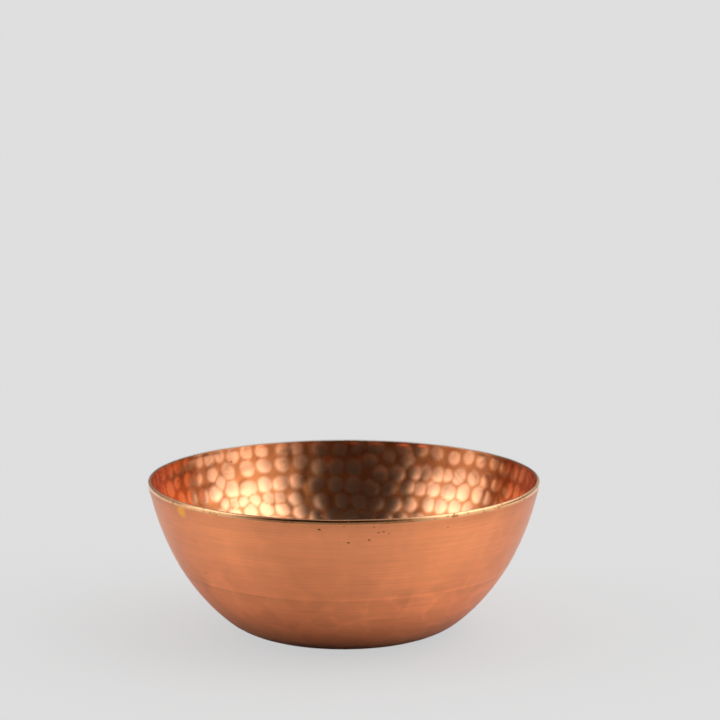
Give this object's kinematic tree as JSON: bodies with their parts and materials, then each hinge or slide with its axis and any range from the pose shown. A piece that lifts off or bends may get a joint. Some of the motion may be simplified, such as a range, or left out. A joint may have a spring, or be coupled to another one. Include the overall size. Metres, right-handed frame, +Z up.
{
  "type": "bowl",
  "caption": "Round open bowl raised from one copper sheet, with a flat base, a faint crease ring, a dressed rim and a hammered inside.",
  "frame": {"origin": "centre of the flat base, on the face the bowl stands on", "axes": "+Z up along the bowl's axis of symmetry; X and Y are level and interchangeable"},
  "size_m": [0.1398, 0.1398, 0.0548],
  "materials": {
    "bowl_copper": "warm copper, hammered and polished inside, fine satin brushed outside"
  },
  "bodies": {
    "root": {"bowl": "bowl_copper"}
  },
  "joints": []
}
